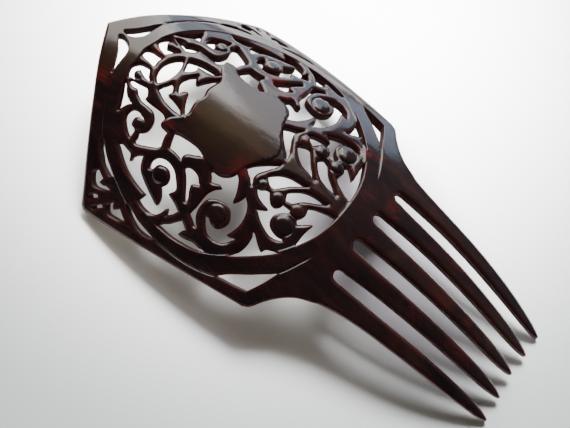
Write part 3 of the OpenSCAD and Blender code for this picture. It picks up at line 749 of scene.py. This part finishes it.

# The comb lies on a smooth pale table top. Its colour carries a painted pool of light beyond the
# comb's right shoulder, palest there and greyer farther off, and a soft oval of painted shadow
# under the tines and the palmette. The gloss of the comb reflects a table that is duller than the
# one that is seen, and darker near the painted pool: painted shade in the reflections.

# Middle and reach of the painted pool of light in the table's colour.
painted_pool_at = (0.062, 0.048, 0)
painted_pool_from, painted_pool_to = 0.02, 0.155
# The oval of painted shadow on the table under the tines and the palmette, and its tint.
oval_at = (0.007, -0.022, 0)
oval_turn = np.radians(-23)
oval_half_sizes = (0.031, 0.062, 1)
# Colours of the table that is seen: paler in the painted pool of light, greyer farther off.
seen_pale, seen_grey = (0.95, 0.945, 0.945), (0.192, 0.203, 0.212)
painted_shadow_tint = (0.27, 0.25, 0.275)
# The table in the comb's gloss is darker near the painted pool: painted shade in the reflections.
mirrored_near, mirrored_far = (0.05, 0.055, 0.062), (0.36, 0.35, 0.35)
table_mesh = bpy.data.meshes.new("pale_table_top")
table_mesh.from_pydata([(-2, -2, 0), (2, -2, 0), (2, 2, 0), (-2, 2, 0)], [], [(0, 1, 2, 3)])
pale_table_top = bpy.data.objects.new("pale_table_top", table_mesh)
bpy.context.collection.objects.link(pale_table_top)
table_top = bpy.data.materials.new("pale_table")
table_top.use_nodes = True
table_shader = table_top.node_tree.nodes["Principled BSDF"]
table_shader.inputs["Roughness"].default_value = 0.6
table_nodes, table_links = table_top.node_tree.nodes, table_top.node_tree.links
on_table = table_nodes.new("ShaderNodeTexCoord").outputs["Object"]
from_painted_pool = table_nodes.new("ShaderNodeVectorMath")
from_painted_pool.operation = "DISTANCE"
from_painted_pool.inputs[1].default_value = painted_pool_at
table_links.new(on_table, from_painted_pool.inputs[0])
in_oval = table_nodes.new("ShaderNodeMapping")
in_oval.vector_type = "TEXTURE"
in_oval.inputs["Location"].default_value = oval_at
in_oval.inputs["Rotation"].default_value = (0, 0, oval_turn)
in_oval.inputs["Scale"].default_value = oval_half_sizes
table_links.new(on_table, in_oval.inputs["Vector"])
off_oval = table_nodes.new("ShaderNodeVectorMath")
off_oval.operation = "LENGTH"
table_links.new(in_oval.outputs["Vector"], off_oval.inputs[0])


def soft_share(distance, start, end):
    """Share that goes from 0 at the start distance to 1 at the end one, in a smooth step."""
    made = table_nodes.new("ShaderNodeMapRange")
    made.interpolation_type = "SMOOTHSTEP"
    made.inputs["From Min"].default_value = start
    made.inputs["From Max"].default_value = end
    table_links.new(distance.outputs["Value"], made.inputs["Value"])
    return made.outputs["Result"]


# Share of the table that lies outside the painted pool of light.
past_painted_pool = soft_share(from_painted_pool, painted_pool_from, painted_pool_to)
# Share of the painted shadow in the oval under the tines and the palmette.
painted_shadow_share = soft_share(off_oval, 1.1, 0.4)
table_with_painted_pool = mixed(table_top.node_tree, past_painted_pool, seen_pale, seen_grey)
table_with_painted_shade = mixed(table_top.node_tree, painted_shadow_share, table_with_painted_pool, painted_shadow_tint, "MULTIPLY")
mirrored_table = mixed(table_top.node_tree, past_painted_pool, mirrored_near, mirrored_far)
by_camera = table_nodes.new("ShaderNodeLightPath").outputs["Is Camera Ray"]
table_colour = mixed(table_top.node_tree, by_camera, mirrored_table, table_with_painted_shade)
table_links.new(table_colour, table_shader.inputs["Base Color"])
table_mesh.materials.append(table_top)

# A window stands beyond the comb's right side: a bright pane, a smaller and cooler one, a patch of
# blue sky over its sill, and the warm wall above it. They draw the long gleams on the comb.


def towards(azimuth, height):
    """Unit vector towards a place at an azimuth and a height above the horizon, in degrees: the
    sines and cosines of the two."""
    a, h = np.radians(azimuth), np.radians(height)
    return Vector((np.cos(a) * np.cos(h), np.sin(a) * np.cos(h), np.sin(h)))


def lamp(name, kind, energy, colour, direction, distance, aim=(0, 0, 0)):
    """New lamp at a distance along a direction from the point that it is aimed at."""
    light = bpy.data.lights.new(name, kind)
    light.energy, light.color = energy, colour
    made = bpy.data.objects.new(name, light)
    made.location = Vector(aim) + direction * distance
    made.rotation_euler = direction.to_track_quat("Z", "Y").to_euler()
    bpy.context.collection.objects.link(made)
    return made


for name, watts, colour, azimuth, height, wide, tall in (
        ("window_left_pane", 18.5, (1.0, 0.985, 0.93), 50, 31, 0.8, 1.12),
        ("window_right_pane", 3.7, (0.95, 0.97, 1.0), 19, 42.5, 0.45, 0.61),
        ("sky_over_sill", 2.9, (0.62, 0.78, 1.0), 14, 14.5, 0.67, 0.45),
        ("wall_over_window", 0.48, (1.0, 0.76, 0.5), 26, 63, 0.6, 0.32)):
    pane = lamp(name, "AREA", watts, colour, towards(azimuth, height), 1.1)
    pane.data.shape = "RECTANGLE"
    pane.data.size, pane.data.size_y = wide, tall

# Daylight falls on the table in a soft pool behind the comb, and a broad warm lamp in the room
# fills the comb's shadow from the other side. Both light the table alone.

daylight = lamp("daylight_on_table", "SPOT", 192, (1.0, 0.995, 0.985), towards(32, 50), 0.33,
                (0.105, 0.045, 0))
daylight.data.spot_size = np.radians(43)
daylight.data.spot_blend = 1.0
daylight.data.shadow_soft_size = 0.145
room_lamp = lamp("room_lamp", "AREA", 5.4, (1.0, 0.82, 0.62), towards(205, 28), 0.9)
room_lamp.data.size = 0.7
lit_by_daylight = bpy.data.collections.new("lit_by_daylight")
lit_by_daylight.objects.link(pale_table_top)
for table_light in (daylight, room_lamp):
    table_light.light_linking.receiver_collection = lit_by_daylight

# The rest of the room is dim and plain, and a little lighter towards the window and the floor
# under it. The camera is held beyond the comb's left side, about 20 cm above the table.

room = bpy.data.worlds.new("room")
room.use_nodes = True
room_nodes, room_links = room.node_tree.nodes, room.node_tree.links
looking = room_nodes.new("ShaderNodeTexCoord")
to_window = room_nodes.new("ShaderNodeVectorMath")
to_window.operation = "DOT_PRODUCT"
to_window.inputs[1].default_value = (0.95, 0.0, -0.3)
room_links.new(looking.outputs["Generated"], to_window.inputs[0])
glow = room_nodes.new("ShaderNodeMapRange")
glow.inputs["From Min"].default_value = -0.1
glow.inputs["From Max"].default_value = 0.9
glow.inputs["To Min"].default_value = 0.075
glow.inputs["To Max"].default_value = 0.35
room_links.new(to_window.outputs["Value"], glow.inputs["Value"])
room_links.new(glow.outputs["Result"], room_nodes["Background"].inputs["Strength"])
room_nodes["Background"].inputs["Color"].default_value = (0.97, 0.95, 1.0, 1)
bpy.context.scene.world = room

camera = bpy.data.cameras.new("camera")
camera.lens = 49.86
camera.sensor_width = 36
view = bpy.data.objects.new("camera", camera)
view.location = (-0.09284, -0.01452, 0.21232)
view.rotation_euler = Euler([np.radians(a) for a in (20.992, -10.403, -52.565)], "XYZ")
bpy.context.collection.objects.link(view)
bpy.context.scene.camera = view
